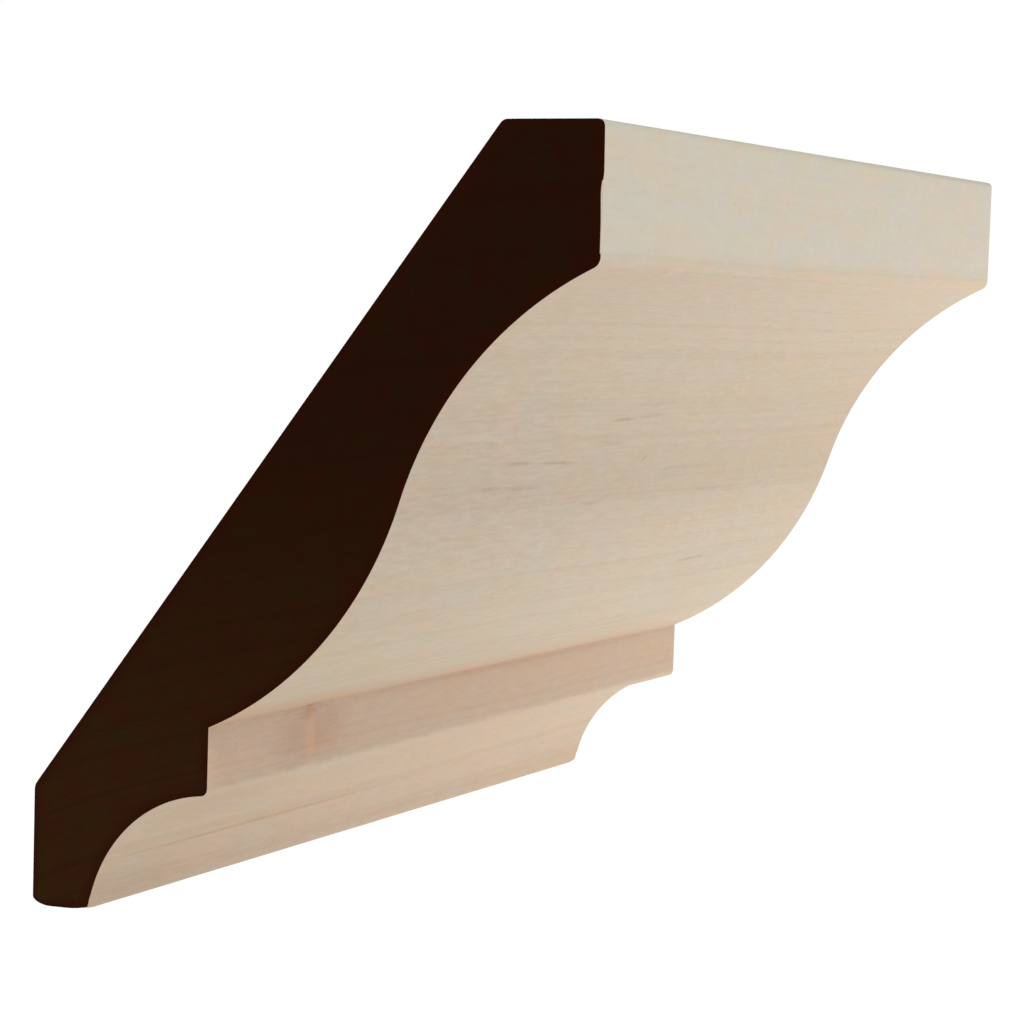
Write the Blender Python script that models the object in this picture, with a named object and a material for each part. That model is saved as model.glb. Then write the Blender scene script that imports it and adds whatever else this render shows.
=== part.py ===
"""A short length of solid-wood crown moulding, cut square at both ends.

The section is drawn as the moulding hangs in a room, in two directions: out from the wall, and up.
It is then run along X. In the model +Z is up, the wall is the plane Y = 0 behind the moulding, and
the room is on the -Y side. The origin is the middle of the flat land that bears on the wall.

From the ceiling down, the face has a tall upright fillet, a cyma (a hollow above a swell), a lower
upright fillet, a cove, and a thin toe. The back is one sloping plane between the land on the wall and
the land on the ceiling, so a space is left behind it in the corner of the room.

All lengths are in metres and all angles in radians.
"""
import math

import bmesh
import bpy
import numpy as np

# Overall sizes
LENGTH = 0.1270
PROJECTION = 0.0730
DROP = 0.0931

# Flats that bear on the building
CEILING_LAND = 0.0121
WALL_LAND = 0.0134

# Face, from the ceiling down
TOP_FILLET = 0.0152
CYMA_SWEEP = math.radians(47.6)
CYMA_SHARE = 0.49
LOW_FILLET = 0.0080
COVE_OUT = 0.0167
COVE_RISE = 0.0156
COVE_SWEEP = math.radians(75.8)

# Toe, which is thin, lifts slightly to the front and is rounded over at the wall
TOE = 0.0081
TOE_LIFT = 0.0003
TOE_ROUND_OUT = 0.0024
TOE_ROUND_UP = 0.0010

# Sanding of the arrises on the face, and of the crisper one at the front of the toe
ARRIS = 0.0009
TOE_ARRIS = 0.0005

# Fineness of the facets
ARC_STEP = math.radians(2.0)
ARRIS_FACETS = 5
TOE_FACETS = 8
SMOOTH_BELOW = math.radians(25.0)

# Finishes, as linear colours and roughnesses, and the slots that hold them
MAPLE_COLOUR = (0.56, 0.44, 0.32)
MAPLE_ROUGHNESS = 0.55
STAIN_COLOUR = (0.018, 0.007, 0.003)
STAIN_ROUGHNESS = 0.75
MAPLE_SLOT = 0
STAIN_SLOT = 1


def remove_all_objects():
    """Empty the scene of objects."""
    for obj in list(bpy.data.objects):
        bpy.data.objects.remove(obj, do_unlink=True)


def line(start, end):
    """A straight stroke, as its two end points."""
    return np.array([start, end], dtype=float)


def arc(start, end, sweep):
    """A circular arc from start to end that turns through sweep.

    A positive sweep bulges to the left of the way from start to end. The chord c and the sweep s give
    the radius, c / (2 sin(s / 2)), and a point at angle a from the arc's middle lies r sin(a) along the
    chord from its centre and r (cos(a) - cos(s / 2)) to the side of it.
    """
    start = np.array(start, dtype=float)
    end = np.array(end, dtype=float)
    chord = np.linalg.norm(end - start)
    along = (end - start) / chord
    left = np.array([-along[1], along[0]])
    radius = chord / (2.0 * math.sin(sweep / 2.0))
    facets = max(2, math.ceil(abs(sweep) / ARC_STEP))
    angle = np.linspace(-sweep / 2.0, sweep / 2.0, facets + 1)
    forward = chord / 2.0 + radius * np.sin(angle)
    sideways = radius * (np.cos(angle) - math.cos(sweep / 2.0))
    return start + np.outer(forward, along) + np.outer(sideways, left)


def toe_round():
    """The quarter ellipse that rounds the toe over from its underside to the land on the wall."""
    angle = np.linspace(0.0, math.pi / 2.0, TOE_FACETS + 1)
    out = TOE_ROUND_OUT * (1.0 - np.sin(angle))
    up = TOE_ROUND_UP * (1.0 - np.cos(angle))
    return np.stack([out, up], axis=1)


def trimmed(stroke, from_start, from_end):
    """The stroke without the given lengths at its two ends."""
    steps = np.linalg.norm(np.diff(stroke, axis=0), axis=1)
    distance = np.concatenate([[0.0], np.cumsum(steps)])
    first = from_start
    last = distance[-1] - from_end
    inner = distance[(distance > first) & (distance < last)]
    stations = np.concatenate([[first], inner, [last]])
    out = np.interp(stations, distance, stroke[:, 0])
    up = np.interp(stations, distance, stroke[:, 1])
    return np.stack([out, up], axis=1)


def eased_corner(before, corner, after):
    """The quadratic curve that rounds a corner, without its two ends."""
    t = np.linspace(0.0, 1.0, ARRIS_FACETS + 1)[1:-1, None]
    return (1.0 - t) ** 2 * before + 2.0 * t * (1.0 - t) * corner + t ** 2 * after


def section():
    """The closed outline of the section as (out, up) points, with its lowest line at up = 0."""
    wall_top = (0.0, TOE_ROUND_UP + WALL_LAND)
    ceiling_back = (PROJECTION - CEILING_LAND, DROP)
    ceiling_front = (PROJECTION, DROP)
    cyma_top = (PROJECTION, DROP - TOP_FILLET)
    cove_foot = (TOE, TOE_LIFT)
    cove_top = (TOE + COVE_OUT, TOE_LIFT + COVE_RISE)
    cyma_foot = (cove_top[0], cove_top[1] + LOW_FILLET)
    turn = tuple(np.array(cyma_top) + CYMA_SHARE * (np.array(cyma_foot) - np.array(cyma_top)))

    # Each stroke is followed by how far the corner at its end is eased.
    strokes = [
        (line(wall_top, ceiling_back), 0.0),
        (line(ceiling_back, ceiling_front), ARRIS),
        (line(ceiling_front, cyma_top), ARRIS),
        (arc(cyma_top, turn, -CYMA_SWEEP), 0.0),
        (arc(turn, cyma_foot, CYMA_SWEEP), 0.0),
        (line(cyma_foot, cove_top), ARRIS),
        (arc(cove_top, cove_foot, -COVE_SWEEP), TOE_ARRIS),
        (line(cove_foot, (TOE_ROUND_OUT, 0.0)), 0.0),
        (toe_round(), 0.0),
        (line((0.0, TOE_ROUND_UP), wall_top), 0.0),
    ]
    points = []
    for index, (stroke, ease_end) in enumerate(strokes):
        ease_start = strokes[index - 1][1]
        kept = trimmed(stroke, ease_start, ease_end)
        points.append(kept if ease_end else kept[:-1])
        if ease_end:
            next_stroke = strokes[(index + 1) % len(strokes)][0]
            after = trimmed(next_stroke, ease_end, 0.0)[0]
            points.append(eased_corner(kept[-1], stroke[-1], after))
    return np.vstack(points)


def plain_material(name, colour, roughness):
    """A Principled material of one colour, given in linear values."""
    material = bpy.data.materials.new(name)
    material.use_nodes = True
    shader = material.node_tree.nodes["Principled BSDF"]
    shader.inputs["Base Color"].default_value = (*colour, 1.0)
    shader.inputs["Roughness"].default_value = roughness
    shader.inputs["Metallic"].default_value = 0.0
    material.diffuse_color = (*colour, 1.0)
    return material


def make_moulding():
    """The moulding: its section run along X, with the land on the wall centred on the origin."""
    land_middle = TOE_ROUND_UP + WALL_LAND / 2.0
    outline = section()

    shape = bmesh.new()
    corners = [shape.verts.new((-LENGTH / 2.0, -out, up - land_middle)) for out, up in outline]
    end_face = shape.faces.new(corners)
    run = bmesh.ops.extrude_face_region(shape, geom=[end_face])
    moved = [item for item in run["geom"] if isinstance(item, bmesh.types.BMVert)]
    bmesh.ops.translate(shape, verts=moved, vec=(LENGTH, 0.0, 0.0))
    bmesh.ops.recalc_face_normals(shape, faces=shape.faces)
    # Only the end at -X is stained, and no other face looks that way.
    for face in shape.faces:
        face.material_index = STAIN_SLOT if round(face.normal.x) == -1 else MAPLE_SLOT

    mesh = bpy.data.meshes.new("crown_moulding")
    shape.to_mesh(mesh)
    shape.free()
    mesh.materials.append(plain_material("pale maple", MAPLE_COLOUR, MAPLE_ROUGHNESS))
    mesh.materials.append(plain_material("dark stained end grain", STAIN_COLOUR, STAIN_ROUGHNESS))
    mesh.shade_smooth()
    mesh.set_sharp_from_angle(angle=SMOOTH_BELOW)

    moulding = bpy.data.objects.new("crown_moulding", mesh)
    bpy.context.collection.objects.link(moulding)
    return moulding


remove_all_objects()
make_moulding()
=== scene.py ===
# %% [markdown]
# # A short length of crown moulding
# Crown moulding closes the corner between a wall and a ceiling. This one is milled from one piece of
# maple, sanded on its face and cut square at both ends, and the near end is stained dark so that its
# section stands out. The lesson first builds the whole surface with numpy, as a section carried along
# a straight path. Then it makes four finishes with shader nodes: the sanded face, the planed back, the
# sawn end and the stained end. Last come the daylight and the camera.
#
# The frame is loaded first. It holds the solid that the moulding was designed as, in metres, with the
# wall at y = 0, the room on the -y side and +z up. Every place below is measured in it.

# %% Load the frame
import math

import bpy
import numpy as np
from mathutils import Matrix, Vector


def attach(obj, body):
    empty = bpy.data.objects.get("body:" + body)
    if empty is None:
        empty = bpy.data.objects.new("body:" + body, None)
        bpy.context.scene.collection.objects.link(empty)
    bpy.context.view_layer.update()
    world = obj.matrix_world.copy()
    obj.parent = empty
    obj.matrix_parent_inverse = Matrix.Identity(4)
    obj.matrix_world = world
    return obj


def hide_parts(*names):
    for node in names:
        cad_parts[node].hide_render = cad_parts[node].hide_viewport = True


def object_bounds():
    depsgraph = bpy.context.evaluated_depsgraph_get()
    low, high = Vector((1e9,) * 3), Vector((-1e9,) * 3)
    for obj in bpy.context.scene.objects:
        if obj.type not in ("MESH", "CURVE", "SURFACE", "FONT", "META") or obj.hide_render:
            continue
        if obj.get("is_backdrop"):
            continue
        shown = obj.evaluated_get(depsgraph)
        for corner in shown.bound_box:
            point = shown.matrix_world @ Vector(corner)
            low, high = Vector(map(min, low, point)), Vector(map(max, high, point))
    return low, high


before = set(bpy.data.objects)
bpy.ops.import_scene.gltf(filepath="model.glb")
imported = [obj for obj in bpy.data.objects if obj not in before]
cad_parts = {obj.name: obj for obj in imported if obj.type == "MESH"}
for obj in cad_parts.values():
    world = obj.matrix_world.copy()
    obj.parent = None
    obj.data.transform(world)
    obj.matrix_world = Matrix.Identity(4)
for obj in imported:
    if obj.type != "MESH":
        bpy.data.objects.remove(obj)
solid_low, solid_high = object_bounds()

MM = 0.001
LENGTH, PROJECTION, DROP = solid_high - solid_low
print(f"The solid is {LENGTH / MM:.1f} mm long, {PROJECTION / MM:.1f} mm out and {DROP / MM:.1f} mm down")

# %% [markdown]
# ## Small helpers for shader nodes
# A shader is a graph, and a graph written node by node is long to read. These helpers each add one
# node and give back its output, so that a finish reads like a formula. A value is typed into a socket,
# and a socket given in its place is linked.


# %% Node helpers
def add_node(tree, kind, inputs=None, **settings):
    """Adds one node, sets its own settings, then fills its inputs with values or links."""
    node = tree.nodes.new(kind)
    place = len(tree.nodes)
    node.location = (230 * (place % 9), -280 * (place // 9))
    for name, value in settings.items():
        setattr(node, name, value)
    for key, value in (inputs or {}).items():
        if isinstance(value, bpy.types.NodeSocket):
            tree.links.new(value, node.inputs[key])
        else:
            node.inputs[key].default_value = value
    return node


def maths(tree, operation, first, second=0.0, third=0.0):
    """One step of arithmetic on numbers."""
    values = {0: first, 1: second, 2: third}
    return add_node(tree, "ShaderNodeMath", values, operation=operation).outputs[0]


def vector_maths(tree, operation, first, second=(0.0, 0.0, 0.0), output="Vector"):
    """One step of arithmetic on vectors; LENGTH and DISTANCE give their answer at output Value."""
    node = add_node(tree, "ShaderNodeVectorMath", {0: first, 1: second}, operation=operation)
    return node.outputs[output]


def mixed(tree, factor, first, second, blend="MIX"):
    """A colour between two colours."""
    values = {0: factor, 6: first, 7: second}
    return add_node(tree, "ShaderNodeMix", values, data_type="RGBA", blend_type=blend).outputs[2]


def remapped(tree, value, low, high, new_low=0.0, new_high=1.0):
    """A number moved smoothly from one range to another, and held at its ends."""
    values = {"Value": value, "From Min": low, "From Max": high, "To Min": new_low, "To Max": new_high}
    node = add_node(tree, "ShaderNodeMapRange", values, interpolation_type="SMOOTHSTEP")
    return node.outputs["Result"]


def noise(tree, position, stretch, detail=2.0, roughness=0.5):
    """Cloudy noise from 0 to 1; stretch holds the size of one cloud along x, y and z, in millimetres."""
    scale = tuple(1.0 / size for size in stretch)
    scaled = vector_maths(tree, "MULTIPLY", position, scale)
    values = {"Vector": scaled, "Scale": 1.0, "Detail": detail, "Roughness": roughness}
    return add_node(tree, "ShaderNodeTexNoise", values).outputs["Fac"]


def new_group(name, inputs, outputs):
    """An empty node group; inputs and outputs are lists of (name, kind, value)."""
    tree = bpy.data.node_groups.new(name, "ShaderNodeTree")
    for side, sockets in (("INPUT", inputs), ("OUTPUT", outputs)):
        for label, kind, value in sockets:
            socket = tree.interface.new_socket(name=label, in_out=side, socket_type=f"NodeSocket{kind}")
            if value is not None:
                socket.default_value = value
    start = add_node(tree, "NodeGroupInput").outputs
    end = add_node(tree, "NodeGroupOutput").inputs
    return tree, start, end


def use_group(tree, group, **values):
    """Places a group in a material; each keyword names an input, with _ for a space."""
    node = add_node(tree, "ShaderNodeGroup", node_tree=group)
    for key, value in values.items():
        socket = node.inputs[key.replace("_", " ")]
        if isinstance(value, bpy.types.NodeSocket):
            tree.links.new(value, socket)
        else:
            socket.default_value = value
    return node.outputs


def tell(name, tree):
    """Prints how long the graph of a group or a finish has become."""
    print(f"{name}: {len(tree.nodes)} nodes")


# %% [markdown]
# ## The section
# A maker sees a crown moulding as its section. From the ceiling down, the face has a tall upright
# fillet, a cyma (a hollow above a swell), a low fillet, a cove and a thin toe. The back slopes between
# the flat that bears on the wall and the flat that bears on the ceiling.
#
# The outline could be drawn with Bezier handles, but the cutters of a moulder are ground to arcs, so
# arcs between named sizes give the true curve. Lengths are in metres, as (out from the wall, up from
# the lowest line of the toe). Every outer corner is eased, the face's by sandpaper and the back's by
# handling. Only the inner corner over the low fillet is crisp, because no sandpaper reaches into it.

# %% Sizes of the section
CEILING_LAND = 12.1 * MM
WALL_LAND = 13.4 * MM
TOP_FILLET = 15.2 * MM
CYMA_SWEEP = math.radians(47.6)
CYMA_SHARE = 0.49
LOW_FILLET = 8.0 * MM
COVE_OUT = 16.7 * MM
COVE_RISE = 15.6 * MM
COVE_SWEEP = math.radians(75.8)
TOE = 8.1 * MM
TOE_LIFT = 0.3 * MM
TOE_ROUND_OUT = 2.4 * MM
TOE_ROUND_UP = 1.0 * MM
FACE_ARRIS = 0.90 * MM
TOE_ARRIS = 0.50 * MM
BACK_ARRIS = 0.50 * MM

wall_top = np.array([0.0, TOE_ROUND_UP + WALL_LAND])
ceiling_back = np.array([PROJECTION - CEILING_LAND, DROP])
ceiling_front = np.array([PROJECTION, DROP])
cyma_top = np.array([PROJECTION, DROP - TOP_FILLET])
cove_foot = np.array([TOE, TOE_LIFT])
cove_top = cove_foot + (COVE_OUT, COVE_RISE)
cyma_foot = cove_top + (0.0, LOW_FILLET)
cyma_turn = cyma_top + CYMA_SHARE * (cyma_foot - cyma_top)
back_slope = ceiling_back - wall_top
lean = math.degrees(math.atan2(back_slope[0], back_slope[1]))
print(f"The back leans {lean:.1f} degrees from the wall")


# %% Strokes of the outline
def straight(start, end, count=120):
    """Points on a straight stroke, evenly spaced."""
    return start + np.linspace(0.0, 1.0, count)[:, None] * (end - start)


def arc(start, end, sweep, count=240):
    """Points on an arc that turns through sweep, with a positive sweep bulging to the left.

    The radius is chord / (2 sin(sweep / 2)). A point at angle a from the arc's middle lies
    radius sin(a) along the chord and radius (cos(a) - cos(sweep / 2)) to the side of it.
    """
    chord = end - start
    half_sweep = sweep / 2.0
    radius = np.linalg.norm(chord) / (2.0 * math.sin(half_sweep))
    along = chord / np.linalg.norm(chord)
    left = np.array([-along[1], along[0]])
    angle = np.linspace(-half_sweep, half_sweep, count)[:, None]
    middle = (start + end) / 2.0
    return middle + radius * (np.sin(angle) * along + (np.cos(angle) - math.cos(half_sweep)) * left)


def toe_round(count=60):
    """The quarter ellipse from the toe's underside up to the wall."""
    angle = np.linspace(0.0, math.pi / 2.0, count)
    out = TOE_ROUND_OUT * (1.0 - np.sin(angle))
    return np.stack([out, TOE_ROUND_UP * (1.0 - np.cos(angle))], axis=1)


def trimmed(stroke, from_start, from_end):
    """The stroke without the given lengths at its two ends."""
    distance = np.concatenate([[0.0], np.cumsum(np.linalg.norm(np.diff(stroke, axis=0), axis=1))])
    inner = distance[(distance > from_start) & (distance < distance[-1] - from_end)]
    at = np.concatenate([[from_start], inner, [distance[-1] - from_end]])
    return np.stack([np.interp(at, distance, stroke[:, axis]) for axis in (0, 1)], axis=1)


def eased(before, corner, after, count=24):
    """The quadratic curve that rounds a corner: (1-t)(1-t) before + 2t(1-t) corner + t t after."""
    t = np.linspace(0.0, 1.0, count)[1:-1, None]
    return (1.0 - t) ** 2 * before + 2.0 * t * (1.0 - t) * corner + t ** 2 * after


# %% Join the strokes into one outline
strokes = [
    (straight(wall_top, ceiling_back), BACK_ARRIS),
    (straight(ceiling_back, ceiling_front), FACE_ARRIS),
    (straight(ceiling_front, cyma_top), FACE_ARRIS),
    (arc(cyma_top, cyma_turn, -CYMA_SWEEP), 0.0),
    (arc(cyma_turn, cyma_foot, CYMA_SWEEP), 0.0),
    (straight(cyma_foot, cove_top), FACE_ARRIS),
    (arc(cove_top, cove_foot, -COVE_SWEEP), TOE_ARRIS),
    (straight(cove_foot, np.array([TOE_ROUND_OUT, 0.0])), 0.0),
    (toe_round(), 0.0),
    (straight(np.array([0.0, TOE_ROUND_UP]), wall_top), BACK_ARRIS),
]
pieces = []
for index, (stroke, ease) in enumerate(strokes):
    kept = trimmed(stroke, strokes[index - 1][1], ease)
    pieces.append(kept if ease else kept[:-1])
    if ease:
        following = trimmed(strokes[(index + 1) % len(strokes)][0], ease, 0.0)
        pieces.append(eased(kept[-1], stroke[-1], following[0]))
outline = np.vstack(pieces)
print(f"The outline has {len(outline)} points")

# %% [markdown]
# ## Two chains over the back
# To close the ends with a neat grid, the section is read as a thickness over the sloping back. A height
# along the back is called a station. Seen square to the back, the outline is crossed only twice at each
# station: once by the back chain (ceiling land, slope, wall land) and once by the face chain. Both
# chains are then sampled at the same stations, so that straight rungs between them fill the section.
#
# Even steps would waste points on the flats and cut the corners. So a chain gets a station for every
# step of length and for every few degrees of turning.

# %% Sample both chains at shared stations
up_back = back_slope / np.linalg.norm(back_slope)


def spaced(chain, step, turn_step):
    """Points along a chain at even steps of (length / step + turning / turn_step)."""
    legs = np.diff(chain, axis=0)
    heading = np.unwrap(np.arctan2(legs[:, 1], legs[:, 0]))
    turning = np.abs(np.diff(heading, prepend=heading[0]))
    measure = np.concatenate([[0.0], np.cumsum(np.linalg.norm(legs, axis=1) / step + turning / turn_step)])
    at = np.linspace(0.0, measure[-1], math.ceil(measure[-1]) + 1)
    return np.stack([np.interp(at, measure, chain[:, axis]) for axis in (0, 1)], axis=1)


def at_stations(chain, stations):
    """The chain's points at the given heights along the back."""
    height = chain @ up_back
    order = np.argsort(height)
    return np.stack([np.interp(stations, height[order], chain[order, axis]) for axis in (0, 1)], axis=1)


highest = int(np.argmax(outline @ up_back))
loop = np.roll(outline, -highest, axis=0)
lowest = int(np.argmin(loop @ up_back))
face_chain = loop[:lowest + 1]
back_chain = np.vstack([loop[lowest:], loop[:1]])
FACE_STEP = 0.85 * MM
BACK_STEP = 8.0 * MM
TURN_STEP = math.radians(9.0)
CLOSEST = 0.06 * MM
wanted = np.concatenate([
    spaced(face_chain, FACE_STEP, TURN_STEP) @ up_back,
    spaced(back_chain, BACK_STEP, TURN_STEP) @ up_back,
])
stations = np.sort(wanted)[::-1]
face_steps = np.linalg.norm(np.diff(at_stations(face_chain, stations), axis=0), axis=1)
back_steps = np.linalg.norm(np.diff(at_stations(back_chain, stations), axis=0), axis=1)
apart = np.maximum(face_steps, back_steps) > CLOSEST
stations = stations[np.concatenate([[True], apart])]
face_points = at_stations(face_chain, stations)
back_points = at_stations(back_chain, stations)
ring = np.vstack([face_points, back_points[-2:0:-1]])
print(f"{len(stations)} stations up the back, {len(ring)} points round the section")

# %% [markdown]
# ## The surface
# The ring of points is carried along x. The saw's edge round each end is dulled a little, more on the
# face than on the back. Each edge is a quarter round: the ring moves in by e (1 - cos a) while it moves
# e sin a to the end. One more ring near the stained end marks how far the stain has spilt over the edge:
# under a tenth of a millimetre, but a fifth of one just above a long shallow nick beside the top fillet.
# Nothing is spilt in the nick, which came after the stain and shows pale wood.

# %% Carry the section along the moulding
FACE_END_EASE = 0.07 * MM
BACK_END_EASE = 0.03 * MM
BACK_SPILL = 0.08 * MM
# On the face, the spill and the nick's depth at heights above the toe, as (height, depth) in mm
SPILL_AT = [(77.9, 0.08), (79.0, 0.01), (86.8, 0.01), (87.4, 0.20), (92.6, 0.01)]
NICK_AT = [(79.3, 0.00), (82.0, 0.01), (83.6, 0.06), (85.0, 0.12), (85.8, 0.12), (86.6, 0.00)]
ALONG_STEPS = 165


def at_height(table):
    """A depth for each point of the ring, read from a table of (height, depth) in mm and joined by lines."""
    heights, depths = np.array(table).T * MM
    return np.interp(ring[:, 1], heights, depths)


on_face = np.arange(len(ring)) < len(stations)
end_ease = np.where(on_face, FACE_END_EASE, BACK_END_EASE)
spill = np.where(on_face, at_height(SPILL_AT), BACK_SPILL)
nick = np.where(on_face, at_height(NICK_AT), 0.0)
in_nick = (nick > 0.0) | (np.roll(nick, -1) > 0.0)
quarter = np.radians([90.0, 60.0, 30.0, 0.0])[:, None]
near_x = -LENGTH / 2.0 + (end_ease + nick) * (1.0 - np.sin(quarter))
near_inset = (end_ease + nick) * (1.0 - np.cos(quarter))
border_x = near_x[-1:] + spill
far_x = LENGTH / 2.0 - end_ease * (1.0 - np.sin(quarter[::-1]))
far_inset = end_ease * (1.0 - np.cos(quarter[::-1]))
middle_x = np.linspace(-LENGTH / 2.0, LENGTH / 2.0, ALONG_STEPS + 2)[1:-1, None] + np.zeros(len(ring))
place_x = np.concatenate([near_x, border_x, middle_x, far_x])
inset = np.concatenate([near_inset, np.zeros_like(border_x), np.zeros_like(middle_x), far_inset])
ring_x = place_x.mean(axis=1)
print(f"{len(ring_x)} rings along the moulding, of which {len(quarter) + 1} round the stained end")

# %% [markdown]
# ## Wear
# Sanding wears the long arrises unevenly, leaves the flats a hair out of true, and has lifted the thin
# toe's lower edge close to each end. A random texture would look the same everywhere, but wear gathers
# at the arrises, so it is worked out from the distance to them. Like the dulled ends, it is a depth below
# the designed surface, so the piece never grows past it.

# %% Wear
WEAR = 0.05 * MM
WEAR_REACH = 0.60 * MM
WEAR_WAVE = 30.0 * MM
UNEVEN = 0.012 * MM
UNEVEN_WAVE = 60.0 * MM
UNEVEN_WAVE_ROUND = 0.12
TOE_WEAR = 0.36 * MM
TOE_WEAR_FROM = 5.0 * MM
TOE_WEAR_REACH = 1.8 * MM
UNDERSIDE_BELOW = 2.0 * MM
SEED = 7
rng = np.random.default_rng(SEED)


def wandering(distance, wavelength, waves=5):
    """A smooth curve from 0 to 1 that wanders along a distance: the mean of a few sine waves."""
    lengths = wavelength * rng.uniform(0.5, 1.6, waves)
    phases = rng.uniform(0.0, 2.0 * math.pi, waves)
    return 0.5 + 0.5 * np.sin(2.0 * math.pi * distance[..., None] / lengths + phases).mean(axis=-1)


tangent = np.roll(ring, -1, axis=0) - np.roll(ring, 1, axis=0)
outward = np.stack([-tangent[:, 1], tangent[:, 0]], axis=1)
outward /= np.linalg.norm(outward, axis=1)[:, None]

arrises = np.array([ceiling_back, ceiling_front, cyma_top, cove_top, cove_foot, wall_top])
to_arris = np.linalg.norm(ring[:, None, :] - arrises[None, :, :], axis=2)
depth = inset.copy()
for number in range(len(arrises)):
    reach = np.exp(-(to_arris[:, number] / WEAR_REACH) ** 2)
    depth += WEAR * np.outer(wandering(ring_x, WEAR_WAVE), reach)
round_ring = np.arange(len(ring)) / len(ring)
depth += UNEVEN * np.outer(wandering(ring_x, UNEVEN_WAVE), wandering(round_ring, UNEVEN_WAVE_ROUND))

# The toe's wear grows with the square of the way to its front, and with the square of the way to the end
underside = np.clip(-outward[:, 1], 0.0, 1.0) * (ring[:, 1] < UNDERSIDE_BELOW)
to_front = np.clip((ring[:, 0] - TOE_WEAR_FROM) / (TOE - TOE_WEAR_FROM), 0.0, 1.0) ** 2
to_end = np.clip(1.0 - (LENGTH / 2.0 - np.abs(ring_x)) / TOE_WEAR_REACH, 0.0, 1.0) ** 2
depth += TOE_WEAR * np.outer(to_end, underside * to_front)
print(f"The surface lies up to {depth.max() / MM:.2f} mm below the designed one")

# %% Place the rings in the model
LAND_MIDDLE = TOE_ROUND_UP + WALL_LAND / 2.0


def to_model(x, section):
    """Turns an x and (out, up) points into places in the model."""
    out, up = section[..., 0], section[..., 1]
    return np.stack([np.broadcast_to(x, out.shape), -out, up - LAND_MIDDLE], axis=-1)


section_points = ring[None, :, :] - depth[:, :, None] * outward[None, :, :]
shell = to_model(place_x, section_points)
print(f"The shell is a grid of {shell.shape[0]} by {shell.shape[1]} points")

# %% [markdown]
# ## The ends
# A single many-sided face could close each end, but it would triangulate into long slivers and hold no
# detail. Rungs from the back chain to the face chain make a grid instead, and the rungs' steps are
# closer near the outline. The two chains meet at the top arris and at the toe, where the grid closes
# to a point.

# %% Fill the ends with rungs
RUNG_STEPS = 14
share = 0.5 - 0.5 * np.cos(np.linspace(0.0, math.pi, RUNG_STEPS + 1)[1:-1])
count = len(stations)
back_index = np.concatenate([[0], np.arange(len(ring) - 1, count - 1, -1), [count - 1]])
RINGS = len(ring_x)


def end_cap(ring_row, first_new):
    """The new points inside one end, and its faces as rows of vertex numbers.

    Each inside point is back + share (face - back), for every station but the two where they meet.
    """
    edge = section_points[ring_row]
    face_edge, back_edge = edge[:count], edge[back_index]
    filled = back_edge[1:-1, None] + share[None, :, None] * (face_edge - back_edge)[1:-1, None]
    points = to_model(place_x[ring_row, 0], filled).reshape(-1, 3)
    numbers = np.arange(len(points)).reshape(count - 2, len(share)) + first_new
    base = ring_row * len(ring)
    rows = np.column_stack([base + back_index[1:-1], numbers, base + np.arange(1, count - 1)])
    quads = np.stack([rows[:-1, :-1], rows[1:, :-1], rows[1:, 1:], rows[:-1, 1:]], axis=-1).reshape(-1, 4)
    top = np.full(rows.shape[1] - 1, base)
    foot = top + count - 1
    tips = np.vstack([
        np.stack([top, rows[0, :-1], rows[0, 1:]], axis=-1),
        np.stack([foot, rows[-1, 1:], rows[-1, :-1]], axis=-1),
    ])
    return points, quads, tips


grid = np.arange(RINGS * len(ring)).reshape(RINGS, len(ring))
turned = np.roll(grid, -1, axis=1)
side_quads = np.stack([grid[:-1], turned[:-1], turned[1:], grid[1:]], axis=-1)
near_points, near_quads, near_tips = end_cap(0, grid.size)
far_points, far_quads, far_tips = end_cap(RINGS - 1, grid.size + len(near_points))
vertices = np.vstack([shell.reshape(-1, 3), near_points, far_points])
print(f"{len(vertices)} vertices, {side_quads[..., 0].size + len(near_quads) * 2} quads and a few tips")

# %% [markdown]
# ## The mesh
# The faces are kept in the order side, near end, far end, with the triangles at the tips of both ends
# last, so that each finish can be given by a range. A point attribute called arris says how near a vertex
# is to an edge of the wood. It is 1 on the edge and fades out over about two millimetres, and the ends use
# it to show worn or soaked edges.

# %% Mesh and finishes
SIDE, BACK, SAWN, STAINED = range(4)
quads = np.vstack([side_quads.reshape(-1, 4), near_quads, far_quads[:, ::-1]])
tips = np.vstack([near_tips, far_tips[:, ::-1]])

mesh = bpy.data.meshes.new("moulding")
mesh.from_pydata(vertices.tolist(), [], quads.tolist() + tips.tolist())

is_back = np.arange(len(ring)) >= count - 1
finish = np.where(is_back, BACK, SIDE) * np.ones((RINGS - 1, 1), dtype=int)
edge_strips = len(quarter) - 1
finish[:edge_strips + 1, ~in_nick] = STAINED
finish[-edge_strips:, is_back] = SAWN
slots = np.concatenate([
    finish.reshape(-1),
    np.full(len(near_quads), STAINED),
    np.full(len(far_quads), SAWN),
    np.full(len(near_tips), STAINED),
    np.full(len(far_tips), SAWN),
])
mesh.polygons.foreach_set("material_index", slots.astype(np.int32))
print("Faces per finish:", np.bincount(slots).tolist())

# %% Arris attribute
outline_distance = to_arris.min(axis=1)[None, :] * np.ones((RINGS, 1))
end_distance = LENGTH / 2.0 - np.abs(place_x)
nearest = np.minimum(outline_distance, end_distance).reshape(-1)
thickness = np.linalg.norm(face_points - back_points, axis=1)[1:-1]
inside = (thickness[:, None] * np.minimum(share, 1.0 - share)[None, :]).reshape(-1)
ARRIS_REACH = 1.0 * MM
arris_values = np.exp(-(np.concatenate([nearest, inside, inside]) / ARRIS_REACH) ** 2)
arris = mesh.attributes.new("arris", "FLOAT", "POINT")
arris.data.foreach_set("value", arris_values.astype(np.float32))
print(f"{int((arris_values > 0.5).sum())} vertices lie close to an arris")

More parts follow.
